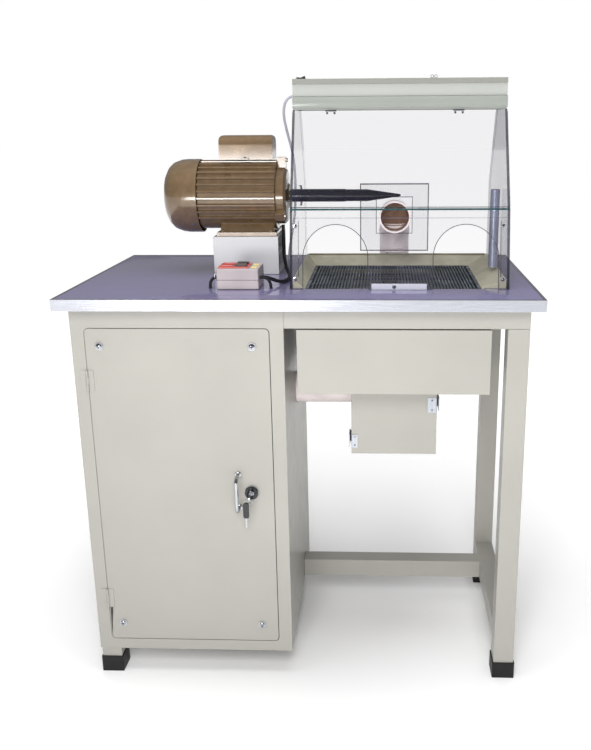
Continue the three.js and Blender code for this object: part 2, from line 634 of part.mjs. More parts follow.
function extractionPipe() {
  const { x, y, z, radius, wall } = pipe;
  const socket = radius + 2;
  const turn = 42;
  const mouthY = 150;
  const upperBend = (r) => bend(r, turn, [x, y - turn, z - turn]);
  const elbow = cut(
    join(rod("y", socket, [mouthY, y - turn + 0.5], [x, z], 20), upperBend(socket),
      rod("z", socket, [z - turn - 8, z - turn + 0.5], [x, y], 20)),
    rod("y", radius - wall, [mouthY - 1, y - turn + 0.5], [x, z], 20),
    upperBend(radius - wall),
    rod("z", radius - wall, [z - turn - 9, z - turn + 0.5], [x, y], 20),
  );
  add("pipe_elbow", elbow, pvc());
  const lowZ = 750;
  const lowerBend = (r) => bend(r, turn, [0, 0, 0]).rotateX(-Math.PI / 2).translate(x, y - turn, lowZ + turn);
  const top = z - turn - 8 - GAP;
  const drop = cut(
    join(rod("z", radius, [lowZ + turn - 0.5, top], [x, y], 20), lowerBend(radius),
      rod("y", radius, [chamber.rear + 0.6, y - turn + 0.5], [x, lowZ], 20)),
    rod("z", radius - wall, [lowZ + turn - 0.5, top + 1], [x, y], 20),
    lowerBend(radius - wall),
    rod("y", radius - wall, [chamber.rear - 5, y - turn + 0.5], [x, lowZ], 20),
  );
  add("suction_pipe", drop, pvc());
}

// Dust tray, grating and tool tube inside the hood
function dustTray() {
  const seat = table.top + GAP;
  const well = [tray.left - 1, tray.right + 1];
  const wellY = [tray.front - 1, tray.rear + 1];
  const rimX = [hood.left + acrylic + GAP, hood.right - acrylic - GAP];
  const rimY = [wellY[0], hood.rear - acrylic - 6 - 2 * GAP];
  const inset = ([a, b], by) => [a + by, b - by];
  const pan = join(
    block(rimX, rimY, [seat, tray.rimTop]),
    block([well[0] - 5, well[1] + 5], [wellY[0] - 1.5, wellY[1] + 5], [deck, seat + 1]),
  );
  const funnel = prismoid(
    [well, [wellY[0] - 2, wellY[1]], table.top - 1.5],
    [[rimX[0] + 2, rimX[1] - 2], [wellY[0] - 2, rimY[1] - 2], tray.rimTop + 0.1],
  );
  const cuts = [
    funnel,
    block(well, wellY, [table.top - 10, table.top + 1]),
    block(inset(well, tray.ledge), inset(wellY, tray.ledge), [deck - 1, table.top]),
  ];
  add("dust_tray", cut(pan, ...cuts), paint(0xa8a68a, 0.5));
}

function grating() {
  const x = [tray.left, tray.right];
  const y = [tray.front, tray.rear];
  const z = [table.top - 9.5, table.top - 2];
  const pitch = 15.5;
  const count = Math.floor((x[1] - x[0] - 10) / pitch);
  const start = (x[0] + x[1] - count * pitch) / 2;
  const windows = [];
  for (let i = 0; i < count; i += 1) {
    const left = start + i * pitch + 3.5;
    windows.push(block([left, left + pitch - 7], [y[0] + 8, y[1] - 8], [z[0] - 1, z[1] + 1]));
  }
  add("grating", cut(block(x, y, z), ...windows), paint(0x59616b, 0.5, 0.6));
}

function toolTube() {
  const tube = cut(rod("z", 10.5, [912, 1085], [423, -35], 20), rod("z", 9, [915, 1086], [423, -35], 20));
  add("tool_tube", tube, steel());
}

// Dust chamber under the table
function dustChamber() {
  const { left, right, front, rear, bottom, shoulder } = chamber;
  const neckFront = front + 30;
  const inset = ([a, b], by) => [a + by, b - by];
  const box = [dustBox.left, dustBox.right];
  const boxY = [dustBox.front, dustBox.rear];
  const outer = join(
    block([left, right], [front, rear], [bottom, shoulder]),
    block([left, right], [neckFront, rear], [shoulder - 1, deck - GAP]),
    block(box, boxY, [dustBox.bottom, bottom + 1]),
  );
  const body = cut(
    outer,
    block(inset([left, right], SHEET), inset([front, rear], SHEET), [bottom + SHEET, shoulder - SHEET]),
    block(inset([left, right], SHEET), inset([neckFront, rear], SHEET), [shoulder - SHEET - 1, deck + 1]),
    block(inset(box, SHEET), [boxY[0] - 1, boxY[1] - SHEET], [dustBox.bottom + SHEET, bottom]),
    block(inset(box, 6), inset(boxY, 6), [bottom - 1, bottom + SHEET + 1]),
    rod("x", duct.radius + 1, [box[0] - 2, box[0] + 5], [duct.y, duct.z], 32),
    rod("y", pipe.radius - 1, [rear - 5, rear + 1], [pipe.x, 750], 32),
  );
  add("dust_chamber", body, greige());

  const coverY = [boxY[0] - SHEET - GAP, boxY[0] - GAP];
  const tongue = inset(box, SHEET + 1);
  const cover = join(
    block(box, coverY, [dustBox.bottom, bottom - 1]),
    cut(
      block(tongue, [coverY[0] + 1, boxY[0] + 12], [dustBox.bottom + 3, bottom - 3]),
      block(inset(tongue, SHEET), [coverY[0], boxY[0] + 13], inset([dustBox.bottom + 3, bottom - 3], SHEET)),
    ),
  );
  add("dust_box_cover", cover, greige());

  const lever = (wall, side, z0) => join(
    block([wall + side * 3.3, wall + side * 5.3].sort((a, b) => a - b), [-206, -172], [z0, z0 + 30]),
    rod("z", 2.6, [z0 + 2, z0 + 28], [wall + side * 3, -172], 12),
  );
  add("latch_upper", lever(box[1], 1, 622), steel());
  add("latch_lower", lever(box[0], -1, 538), steel());
  const link = pipeStretch("x", duct.radius, duct.radius - 2.5, [-48, box[0] + 4], [duct.y, duct.z]);
  add("suction_duct", link, pvc());
}

// Blower in the cabinet
function extractor() {
  const { y, z, radius, left, right } = blower;
  const at = [y, z];
  const panelInner = cabinet.right - SHEET - GAP;
  const casing = cut(
    join(
      rod("x", radius, [left, right], at, 28),
      block([left, right], [y, leg.rear - SHEET - 4], blower.outlet),
      rod("x", duct.radius + 5, [right - 1, panelInner], at, 24),
      rod("x", duct.radius + 22, [panelInner - 3, panelInner], at, 24),
      rod("x", 55, [left - 92, left + 1], at, 24),
    ),
    rod("x", radius - 3, [left + 3, right - 3], at, 28),
    block([left + 3, right - 3], [y, leg.rear], [blower.outlet[0] + 3, blower.outlet[1] - 3]),
    rod("x", duct.radius + 1, [right - 5, panelInner + 1], at, 24),
    rod("x", 8.5, [left - 60, left + 4], at, 20),
  );
  add("blower_housing", casing, paint(0x5f6468, 0.5, 0.4));
  const blades = Array.from({ length: 10 }, (_, i) =>
    block([left + 12, right - 12], [40, 100], [-1.2, 1.2]).rotateX((Math.PI * i) / 5).translate(0, ...at));
  const wheel = join(
    rod("x", 101, [left + 9, left + 12.5], at, 24),
    rod("x", 18, [left + 9, left + 45], at, 16),
    rod("x", 8, [left - 55, left + 12], at, 12),
    ...blades,
  );
  add("blower_impeller", wheel, paint(0x9da3a8, 0.4, 0.8));
}

// Free cables; both ends of each go back into the bench
function cables() {
  const lampRoute = [
    [-24.5, 20, 1287], [-34, 22, 1286], [-44, 27, 1279], [-51, 35, 1264], [-53, 46, 1244], [-51, 60, 1222],
    [-47, 75, 1198], [-42, 88, 1172], [-38.5, 98, 1144], [-37, 104, 1112], [-37, 107, 1078], [-38, 108, 1044],
    [-41, 108, 1010], [-46, 107, 980], [-51, 106, 952], [-55, 105, 925], [-56, 105, 904], [-56, 105, 880],
  ];
  add("lamp_cable", cord(lampRoute, 3, 8, 34), paint(0xd5d7dc, 0.5));
  const motorRoute = [
    [-88.6, -150, 908], [-80, -150, 907.6], [-69, -146, 904], [-58, -137, 898], [-48, -124, 894],
    [-41, -106, 893], [-38, -85, 893], [-38, -62, 893], [-41, -38, 893.5], [-46, -14, 896], [-52, 8, 902],
    [-57, 28, 913], [-61, 44, 931], [-63, 55, 953], [-63.5, 60, 975], [-63.5, 62, 997],
  ];
  add("motor_cable", cord(motorRoute, 4, 8, 24), rubber());
  const supplyRoute = [[-180, -170, 911], [-185, -170, 911], [-190, -170, 909], [-194.5, -170, 904.5],
    [-197, -170, 898], [-197.5, -170, 890], [-197.5, -170, 880]];
  add("supply_cable", cord(supplyRoute, 3.2, 8, 9), rubber());
  const blowerRoute = [[-89, -172, 912], [-83, -172, 911.9], [-76.5, -172, 910], [-70.5, -172, 905],
    [-67, -172, 898], [-66, -172, 890], [-66, -172, 880]];
  add("blower_cable", cord(blowerRoute, 3.2, 8, 9), rubber());
}

legsAndFeet();
topFrame();
stretcher();
carcass();
cabinetDoor();
doorHandle();
doorLock();
tableTop();
motorStand();
motorBody();
fanEnd();
capacitorBox();
spindle();
switches();
hoodSides();
hoodRear();
hoodFront();
hoodLid();
lampHousing();
extractionPipe();
dustTray();
grating();
toolTube();
dustChamber();
extractor();
cables();

export default group;
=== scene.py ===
"""The looks of a jewellery polishing bench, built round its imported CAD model.

Metres, +Z up, front towards -Y. Sizes in this script are written in millimetres and turned into metres
by mm().
"""
import math

import bpy
from mathutils import Matrix, Vector


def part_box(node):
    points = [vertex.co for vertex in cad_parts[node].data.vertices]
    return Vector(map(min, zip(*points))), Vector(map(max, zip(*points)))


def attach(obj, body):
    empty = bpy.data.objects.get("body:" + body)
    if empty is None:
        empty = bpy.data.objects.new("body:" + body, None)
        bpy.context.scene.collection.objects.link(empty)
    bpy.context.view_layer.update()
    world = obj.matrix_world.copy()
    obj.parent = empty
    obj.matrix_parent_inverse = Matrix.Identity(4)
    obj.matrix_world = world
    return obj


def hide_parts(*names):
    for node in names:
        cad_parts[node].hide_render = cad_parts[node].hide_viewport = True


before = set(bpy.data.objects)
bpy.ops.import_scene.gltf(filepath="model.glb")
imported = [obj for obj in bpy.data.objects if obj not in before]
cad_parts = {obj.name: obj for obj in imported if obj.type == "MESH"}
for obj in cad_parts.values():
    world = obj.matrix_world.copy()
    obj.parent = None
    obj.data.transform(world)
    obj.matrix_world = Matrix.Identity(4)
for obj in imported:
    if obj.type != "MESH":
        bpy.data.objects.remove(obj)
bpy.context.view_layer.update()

MM = 0.001
FRONT, RIGHT, UP = Vector((0, -1, 0)), Vector((1, 0, 0)), Vector((0, 0, 1))


def mm(*values):
    return Vector([value * MM for value in values])


def middle(node):
    low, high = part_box(node)
    return (low + high) / 2


# ---------------------------------------------------------------- camera

def make_camera():
    """A camera at standing height, a little right of the middle, looking slightly down at the bench."""
    yaw, pitch, roll = (math.radians(a) for a in (2.289, 15.666, -0.373))
    right = Vector((math.cos(yaw), math.sin(yaw), 0))
    level = Vector((-math.sin(yaw), math.cos(yaw), 0))
    forward = level * math.cos(pitch) - UP * math.sin(pitch)
    up = level * math.sin(pitch) + UP * math.cos(pitch)
    side = right * math.cos(roll) + up * math.sin(roll)
    top = up * math.cos(roll) - right * math.sin(roll)
    data = bpy.data.cameras.new("camera")
    data.sensor_width = 36
    data.lens = 40.576
    data.shift_x, data.shift_y = -0.0729, -0.0199
    camera = bpy.data.objects.new("camera", data)
    axes = Matrix((side, top, -forward)).transposed().to_4x4()
    camera.matrix_world = Matrix.Translation(mm(174.5, -1955.3, 1228.7)) @ axes
    bpy.context.scene.collection.objects.link(camera)
    bpy.context.scene.camera = camera


# ---------------------------------------------------------------- materials

def linear(code):
    """A colour such as c8c6b9 as linear red, green, blue and alpha."""
    channels = [int(code[i:i + 2], 16) / 255 for i in (0, 2, 4)]
    return [c / 12.92 if c <= 0.04045 else ((c + 0.055) / 1.055) ** 2.4 for c in channels] + [1.0]


class Surface:
    """One node material: a Principled shader with optional mottled colour, roughness and bump."""

    def __init__(self, name, color, roughness, **sockets):
        self.material = bpy.data.materials.new(name)
        self.material.use_nodes = True
        self.tree = self.material.node_tree
        self.shader = self.tree.nodes["Principled BSDF"]
        self.color = linear(color)
        self.roughness = roughness
        self.shader.inputs["Base Color"].default_value = self.color
        self.shader.inputs["Roughness"].default_value = roughness
        for socket, value in sockets.items():
            self.shader.inputs[socket.replace("_", " ")].default_value = value
        self.place = self.tree.nodes.new("ShaderNodeTexCoord").outputs["Object"]
        self.height = None

    def noise(self, scale, detail=3, stretch=(1, 1, 1), distortion=0.0):
        mapping = self.tree.nodes.new("ShaderNodeMapping")
        mapping.inputs["Scale"].default_value = stretch
        self.tree.links.new(self.place, mapping.inputs["Vector"])
        node = self.tree.nodes.new("ShaderNodeTexNoise")
        node.inputs["Scale"].default_value = scale
        node.inputs["Detail"].default_value = detail
        node.inputs["Distortion"].default_value = distortion
        self.tree.links.new(mapping.outputs["Vector"], node.inputs["Vector"])
        return node.outputs["Fac"]

    def ramp(self, value, stops):
        node = self.tree.nodes.new("ShaderNodeValToRGB")
        elements = node.color_ramp.elements
        while len(elements) < len(stops):
            elements.new(0.5)
        for element, (position, color) in zip(elements, stops):
            element.position = position
            element.color = color
        self.tree.links.new(value, node.inputs["Fac"])
        return node.outputs["Color"]

    def mottle(self, value, darkest, lightest, low=0.35, high=0.65):
        """Varies the colour between two shares of the base colour."""
        shade = lambda share: [min(1, c * share) for c in self.color[:3]] + [1]
        self.tree.links.new(self.ramp(value, [(low, shade(darkest)), (high, shade(lightest))]),
                            self.shader.inputs["Base Color"])
        return self

    def gloss(self, value, spread, low=0.3, high=0.7):
        """Varies the roughness by a spread to either side."""
        grey = lambda r: [max(0.02, r)] * 3 + [1]
        stops = [(low, grey(self.roughness - spread)), (high, grey(self.roughness + spread))]
        self.tree.links.new(self.ramp(value, stops), self.shader.inputs["Roughness"])
        return self

    def bump(self, value, distance, strength=0.5):
        node = self.tree.nodes.new("ShaderNodeBump")
        node.inputs["Distance"].default_value = distance * MM
        node.inputs["Strength"].default_value = strength
        self.tree.links.new(value, node.inputs["Height"])
        if self.height:
            self.tree.links.new(self.height, node.inputs["Normal"])
        self.height = node.outputs["Normal"]
        self.tree.links.new(self.height, self.shader.inputs["Normal"])
        return self


def powder_paint(name, color, roughness=0.42, texture=0.25, coat=0.15):
    """Sprayed enamel: fine orange peel, slow changes of tone and gloss."""
    s = Surface(name, color, roughness, Coat_Weight=coat, Coat_Roughness=0.2)
    s.mottle(s.noise(5, 4), 0.965, 1.02)
    s.gloss(s.noise(22, 4), 0.05)
    return s.bump(s.noise(650, 2), texture, 0.35).material


def hammered_bronze():
    s = Surface("bronze_paint", "6f5a41", 0.34, Metallic=0.3, Coat_Weight=1.0, Coat_IOR=1.6,
                Coat_Roughness=0.1)
    s.mottle(s.noise(60, 6, distortion=0.4), 0.85, 1.08)
    s.gloss(s.noise(35, 5), 0.08)
    return s.bump(s.noise(420, 3), 0.15, 0.25).material


def glossy_laminate():
    s = Surface("laminate", "6c6888", 0.2, Coat_Weight=0.6, Coat_Roughness=0.04)
    s.mottle(s.noise(900, 2), 0.93, 1.06)
    s.gloss(s.noise(14, 5), 0.05)
    return s.bump(s.noise(180, 3), 0.08, 0.2).material


def brushed_metal(name, color, roughness, along, depth=0.05):
    """Metal brushed along an axis: the grain is stretched that way."""
    stretch = {"x": (0.02, 1, 1), "y": (1, 0.02, 1), "z": (1, 1, 0.02)}[along]
    s = Surface(name, color, roughness, Metallic=1.0)
    s.mottle(s.noise(900, 3, stretch), 0.9, 1.05)
    s.gloss(s.noise(700, 3, stretch), 0.07)
    return s.bump(s.noise(1200, 2, stretch), depth, 0.3).material


def polished(name, color, roughness=0.08):
    s = Surface(name, color, roughness, Metallic=1.0)
    s.gloss(s.noise(90, 4), 0.03)
    return s.mottle(s.noise(30, 3), 0.93, 1.04).material


def moulded(name, color, roughness, grain=0.12, metallic=0.0, coat=0.0):
    """Moulded plastic, rubber or enamel with a fine grain."""
    s = Surface(name, color, roughness, Metallic=metallic, Coat_Weight=coat, Coat_Roughness=0.08)
    s.mottle(s.noise(18, 4), 0.9, 1.08)
    s.gloss(s.noise(45, 4), 0.06)
    return s.bump(s.noise(900, 2), grain, 0.35).material


def acrylic_face(name, alpha, color="56546a"):
    """Clear sheet with faint wiping smears in its gloss."""
    s = Surface(name, color, 0.05, Alpha=alpha, IOR=1.49, Specular_IOR_Level=0.3)
    s.gloss(s.noise(9, 5, (1, 1, 0.3)), 0.03)
    return s.mottle(s.noise(6, 3), 0.96, 1.03).material


def acrylic_edge(name="acrylic_edge", color="2c4448", alpha=0.9):
    """A sawn edge, where the sheet looks dark and greenish."""
    s = Surface(name, color, 0.18, Alpha=alpha, IOR=1.49)
    s.mottle(s.noise(140, 3), 0.75, 1.25)
    return s.bump(s.noise(700, 2), 0.08, 0.3).material


def header_acrylic():
    """The narrow sheet under the lamp, pale green because it is seen against the painted housing."""
    s = Surface("header_acrylic", "969b94", 0.12, Alpha=0.7, IOR=1.49)
    s.gloss(s.noise(12, 4), 0.03)
    return s.mottle(s.noise(7, 3), 0.97, 1.02).material


def worn_paint(name, color, wear, roughness, metallic=0.3):
    """Paint worn through in patches to a lighter tone."""
    s = Surface(name, color, roughness, Metallic=metallic)
    patches = s.noise(32, 7, distortion=0.5)
    stops = [(0.3, [c * 0.7 for c in s.color[:3]] + [1]), (0.52, s.color), (0.72, linear(wear))]
    s.tree.links.new(s.ramp(patches, stops), s.shader.inputs["Base Color"])
    s.gloss(s.noise(60, 4), 0.1)
    return s.bump(s.noise(300, 4), 0.15, 0.4).material


def tray_enamel():
    """Thin khaki enamel, dulled by polishing dust."""
    s = Surface("tray_paint", "a09c8b", 0.5, Metallic=0.1)
    s.mottle(s.noise(24, 5), 0.86, 1.1)
    s.gloss(s.noise(50, 4), 0.08)
    return s.bump(s.noise(420, 3), 0.12, 0.3).material


GREIGE = powder_paint("greige_paint", "999790")
WHITE = powder_paint("white_paint", "b4b4b6", 0.36)
LAMP_PAINT = powder_paint("lamp_paint", "9a9c98", 0.36)
LAMP_LIP = powder_paint("lamp_lip", "7c7d77", 0.4)
BRONZE = hammered_bronze()
LAMINATE = glossy_laminate()
TRIM = brushed_metal("edge_metal", "d0d2da", 0.24, "x")
STEEL = brushed_metal("bright_steel", "b4b8c0", 0.28, "z")
HINGE_STEEL = brushed_metal("hinge_steel", "6d7076", 0.35, "x")
SHAFT = brushed_metal("shaft_steel", "a9adb3", 0.25, "x")
CHROME = polished("chrome", "b4b6bb", 0.12)
BLACK_ENAMEL = moulded("black_enamel", "15171a", 0.24, 0.05, 0.4, 0.6)
BLACK_PLASTIC = moulded("black_plastic", "17171a", 0.34, 0.08, coat=0.3)
RUBBER = moulded("foot_rubber", "040405", 0.6, 0.15)
CABLE_BLACK = moulded("cable_black", "1a1a1c", 0.5)
CABLE_PALE = moulded("cable_pale", "a2a2ae", 0.42)
PVC = moulded("pvc", "f6eaea", 0.32, 0.08, coat=0.2)
PVC_DUST = worn_paint("pvc_dust", "a58262", "bf9f80", 0.7, 0.0)
SWITCH = moulded("switch_plastic", "a09799", 0.4, 0.15)
RED = moulded("stop_plastic", "a8362c", 0.28, 0.05, coat=0.4)
DARK = moulded("start_plastic", "2e2222", 0.32, 0.05, coat=0.3)
YELLOW = moulded("label_yellow", "d8c878", 0.4, 0.05)
TRAY = tray_enamel()
GRATING = worn_paint("grating_paint", "59616d", "9096a0", 0.45, 0.5)
WINDING = moulded("winding_steel", "8a4a22", 0.5, 0.3, 0.3)
BLOWER = powder_paint("blower_paint", "5f6468", 0.4)
IMPELLER = brushed_metal("impeller_metal", "9da3a8", 0.35, "y")
TUBE_GREY = moulded("tube_grey", "85889a", 0.32, 0.05, 0.45)
BRACKET = powder_paint("bracket_paint", "aeafb9", 0.34)
# A darker copy of the grating paint with the same worn patches: painted reflection of the suction pipe on the
# middle bars.
GRATING_REFLECTION = worn_paint("grating_painted_reflection", "33383f", "4a5058", 0.5, 0.4)
LAMP_GLASS = moulded("lamp_glass", "f2f4f2", 0.3, 0.02)
ACRYLIC = acrylic_face("acrylic_face", 0.04)
# The same clear acrylic drawn darker and more opaque: painted reflection of a sheet seen at a grazing angle,
# and for the right side sheet painted shade as well.
ACRYLIC_GRAZING_REFLECTION = acrylic_face("acrylic_painted_grazing_reflection", 0.15, "6b697c")
ACRYLIC_PAINTED_SHADE = acrylic_face("acrylic_painted_shade", 0.36, "6b697c")
ACRYLIC_PLATE = acrylic_face("acrylic_plate", 0.075, "6b697c")
EDGE = acrylic_edge()
EDGE_GREY = acrylic_edge("acrylic_edge_grey", "45434e", 0.85)
FROSTED = header_acrylic()
# Dark for the real joints of the trim and the switch case, and painted shade in the cross slots of the
# screws.
GAP_AND_SLOT_SHADE = moulded("dark_gap_and_slot_shade", "121212", 0.8)


# ---------------------------------------------------------------- meshes

AXES = {"x": (0, 1, 2), "y": (1, 2, 0), "z": (2, 0, 1)}


def in_axis(axis, along, u, v):
    """A point from its place along an axis and its two other coordinates in cyclic order."""
    point = [0.0, 0.0, 0.0]
    for index, value in zip(AXES[axis], (along, u, v)):
        point[index] = value
    return Vector(point)


class Shape:
    """Collects the faces of one piece, in millimetres; each part of it has its own material."""

    def __init__(self):
        self.verts, self.faces, self.slots, self.materials = [], [], [], []

    def add(self, verts, faces, material):
        if material not in self.materials:
            self.materials.append(material)
        base = len(self.verts)
        self.verts += [Vector(v) for v in verts]
        self.faces += [[base + i for i in face] for face in faces]
        self.slots += [self.materials.index(material)] * len(faces)
        return self

    def block(self, xs, ys, zs, material):
        (x0, x1), (y0, y1), (z0, z1) = xs, ys, zs
        corners = [(x, y, z) for z in (z0, z1) for x, y in ((x0, y0), (x1, y0), (x1, y1), (x0, y1))]
        faces = [(3, 2, 1, 0), (4, 5, 6, 7)] + [(i, (i + 1) % 4, (i + 1) % 4 + 4, i + 4) for i in range(4)]
        return self.add(corners, faces, material)

    def prism(self, outline, axis, span, material):
        """An outline, given anticlockwise in the two other axes in cyclic order, drawn out along an axis."""
        count = len(outline)
        verts = [in_axis(axis, along, u, v) for along in span for u, v in outline]
        faces = [list(range(count))[::-1], list(range(count, 2 * count))]
        faces += [(i, (i + 1) % count, (i + 1) % count + count, i + count) for i in range(count)]
        return self.add(verts, faces, material)

    def turned(self, profile, axis, centre, material, sides=64):
        """A body of revolution from (place along the axis, radius) pairs.

        It is closed at a radius of 0 or on itself.
        """
        verts, rings = [], []
        for along, radius in profile:
            if radius == 0:
                rings.append([len(verts)] * sides)
                verts.append(in_axis(axis, along, *centre))
                continue
            rings.append(list(range(len(verts), len(verts) + sides)))
            for i in range(sides):
                angle = 2 * math.pi * i / sides
                u, v = centre[0] + radius * math.cos(angle), centre[1] + radius * math.sin(angle)
                verts.append(in_axis(axis, along, u, v))
        closed = profile[0][1] > 0
        pairs = list(zip(rings, rings[1:] + rings[:1])) if closed else list(zip(rings, rings[1:]))
        faces = []
        for a, b in pairs:
            for i in range(sides):
                j = (i + 1) % sides
                face = list(dict.fromkeys((a[i], a[j], b[j], b[i])))
                if len(face) > 2:
                    faces.append(face)
        return self.add(verts, faces, material)

    def tube(self, points, radius, material, sides=20, closed=False):
        """A round bar along a smooth run of points, with its section carried along without twisting."""
        path = [Vector(p) for p in points]
        count = len(path)
        ahead = lambda i: path[(i + 1) % count] if closed else path[min(i + 1, count - 1)]
        behind = lambda i: path[i - 1] if closed else path[max(i - 1, 0)]
        tangents = [(ahead(i) - behind(i)).normalized() for i in range(count)]
        normal = tangents[0].orthogonal().normalized()
        verts = []
        for point, tangent in zip(path, tangents):
            normal = (normal - tangent * normal.dot(tangent)).normalized()
            other = tangent.cross(normal)
            for k in range(sides):
                angle = 2 * math.pi * k / sides
                verts.append(point + (normal * math.cos(angle) + other * math.sin(angle)) * radius)
        faces = []
        for i in range(count if closed else count - 1):
            a, b = i * sides, ((i + 1) % count) * sides
            faces += [(a + k, a + (k + 1) % sides, b + (k + 1) % sides, b + k) for k in range(sides)]
        if not closed:
            faces += [list(range(sides))[::-1], list(range((count - 1) * sides, count * sides))]
        return self.add(verts, faces, material)

    def make(self, name, body, slot, bevel=0.0, replaces=()):
        mesh = bpy.data.meshes.new(name)
        mesh.from_pydata([v * MM for v in self.verts], [], self.faces)
        for material in self.materials:
            mesh.materials.append(material)
        mesh.polygons.foreach_set("material_index", self.slots)
        mesh.polygons.foreach_set("use_smooth", [True] * len(self.faces))
        mesh.set_sharp_from_angle(angle=math.radians(32))
        mesh.update()
        piece = bpy.data.objects.new(name, mesh)
        bpy.context.scene.collection.objects.link(piece)
        if bevel:
            soften(piece, bevel)
        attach(piece, body)
        if replaces:
            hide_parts(*replaces)
        return piece


def soften(piece, width, segments=2):
    """Rounds the hard edges of a piece by a small bevel."""
    bevel = piece.modifiers.new("bevel", "BEVEL")
    bevel.width = width * MM
    bevel.segments = segments
    bevel.limit_method = "ANGLE"
    bevel.angle_limit = math.radians(32)
    bevel.harden_normals = True
    return bevel


def arc(centre, radius, start, stop, steps):
    """Points on an arc, in degrees."""
    angles = [math.radians(start + (stop - start) * i / steps) for i in range(steps + 1)]
    return [(centre[0] + radius * math.cos(a), centre[1] + radius * math.sin(a)) for a in angles]


def dress(node, *materials, bevel=0.6, segments=2):
    """Gives a CAD node its materials, joined faces and softened edges."""
    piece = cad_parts[node]
    mesh = piece.data
    mesh.materials.clear()
    for material in materials:
        mesh.materials.append(material)
    if "custom_normal" in mesh.attributes:
        mesh.attributes.remove(mesh.attributes["custom_normal"])
    mesh.polygons.foreach_set("use_smooth", [True] * len(mesh.polygons))
    weld = piece.modifiers.new("weld", "WELD")
    weld.merge_threshold = 0.00002
    flat = piece.modifiers.new("flat", "DECIMATE")
    flat.decimate_type = "DISSOLVE"
    flat.angle_limit = math.radians(0.5)
    flat.delimit = {"MATERIAL"}
    if bevel:
        soften(piece, bevel, segments)
    weighted = piece.modifiers.new("weighted", "WEIGHTED_NORMAL")
    weighted.keep_sharp = True
    return piece


def paint_faces(node, test, index):
    """Gives the faces of a CAD node that pass a test of centre and normal another of its materials."""
    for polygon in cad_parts[node].data.polygons:
        if test(polygon.center, polygon.normal):
            polygon.material_index = index


# ---------------------------------------------------------------- cords

LAMP_ROUTE = [
    (-24.5, 20, 1287), (-34, 22, 1286), (-44, 27, 1279), (-51, 35, 1264), (-53, 46, 1244), (-51, 60, 1222),
    (-47, 75, 1198), (-42, 88, 1172), (-38.5, 98, 1144), (-37, 104, 1112), (-37, 107, 1078), (-38, 108, 1044),
    (-41, 108, 1010), (-46, 107, 980), (-51, 106, 952), (-55, 105, 925), (-56, 105, 904), (-56, 105, 880),
]
MOTOR_ROUTE = [
    (-88.6, -150, 908), (-80, -150, 907.6), (-69, -146, 904), (-58, -137, 898), (-48, -124, 894),
    (-41, -106, 893), (-38, -85, 893), (-38, -62, 893), (-41, -38, 893.5), (-46, -14, 896), (-52, 8, 902),
    (-57, 28, 913), (-61, 44, 931), (-63, 55, 953), (-63.5, 60, 975), (-63.5, 62, 997),
]
SUPPLY_ROUTE = [
    (-180, -170, 911), (-185, -170, 911), (-190, -170, 909), (-194.5, -170, 904.5), (-197, -170, 898),
    (-197.5, -170, 890), (-197.5, -170, 880),
]
BLOWER_ROUTE = [
    (-89, -172, 912), (-83, -172, 911.9), (-76.5, -172, 910), (-70.5, -172, 905), (-67, -172, 898),
    (-66, -172, 890), (-66, -172, 880),
]


def cable(node, route, radius, material):
    """A cable along a route of millimetre points, whose two ends both go into the bench."""
    data = bpy.data.curves.new(node + "_line", "CURVE")
    data.dimensions = "3D"
    data.bevel_depth = radius * MM
    data.bevel_resolution = 4
    data.resolution_u = 6
    data.use_fill_caps = True
    spline = data.splines.new("BEZIER")
    spline.bezier_points.add(len(route) - 1)
    for point, place in zip(spline.bezier_points, route):
        point.co = mm(*place)
        point.handle_left_type = point.handle_right_type = "AUTO"
    data.materials.append(material)
    piece = bpy.data.objects.new(node + "_line", data)
    bpy.context.scene.collection.objects.link(piece)
    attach(piece, "bench")
    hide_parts(node)
    bpy.context.view_layer.update()


def cords():
    cable("lamp_cable", LAMP_ROUTE, 3, CABLE_PALE)
    cable("motor_cable", MOTOR_ROUTE, 4, CABLE_BLACK)
    cable("supply_cable", SUPPLY_ROUTE, 3.2, CABLE_BLACK)
    cable("blower_cable", BLOWER_ROUTE, 3.2, CABLE_BLACK)


# ---------------------------------------------------------------- fasteners

def screw(shape, place, axis, outward, radius, material=None):
    """A pan-head screw with a washer and a cross slot; outward is 1 or -1 along the axis."""
    material = material or CHROME
    index = AXES[axis][0]
    base, centre = place[index], [place[i] for i in AXES[axis][1:]]
    at = lambda height: base + outward * height
    profile = [(at(0), 0), (at(0), radius), (at(0.22 * radius), radius), (at(0.24 * radius), 0.72 * radius),
               (at(0.42 * radius), 0.68 * radius), (at(0.56 * radius), 0.45 * radius), (at(0.6 * radius), 0)]
    if outward < 0:
        profile = profile[::-1]
    shape.turned(profile, axis, centre, material, 28)
    # The cross slot is drawn as a dark cross standing on the head: painted shade of its recess.
    for wide, tall in ((0.42, 0.07), (0.07, 0.42)):
        spans = {index: sorted((at(0.5 * radius), at(0.64 * radius)))}
        for i, half in zip(AXES[axis][1:], (wide, tall)):
            spans[i] = [place[i] - half * radius, place[i] + half * radius]
        shape.block(spans[0], spans[1], spans[2], GAP_AND_SLOT_SHADE)
    return shape


# ---------------------------------------------------------------- steel bench

def steel_frame():
    for row in ("front", "rear"):
        for side in ("left", "right"):
            dress(f"leg_{row}_{side}", GREIGE, bevel=1.6, segments=3)
            dress(f"foot_{row}_{side}", RUBBER, bevel=1.2)
    dress("top_frame", GREIGE, bevel=1.2)
    dress("stretcher", GREIGE, bevel=1.6, segments=3)
    dress("cabinet_carcass", GREIGE, bevel=0.5)


DOOR_FACE = -272


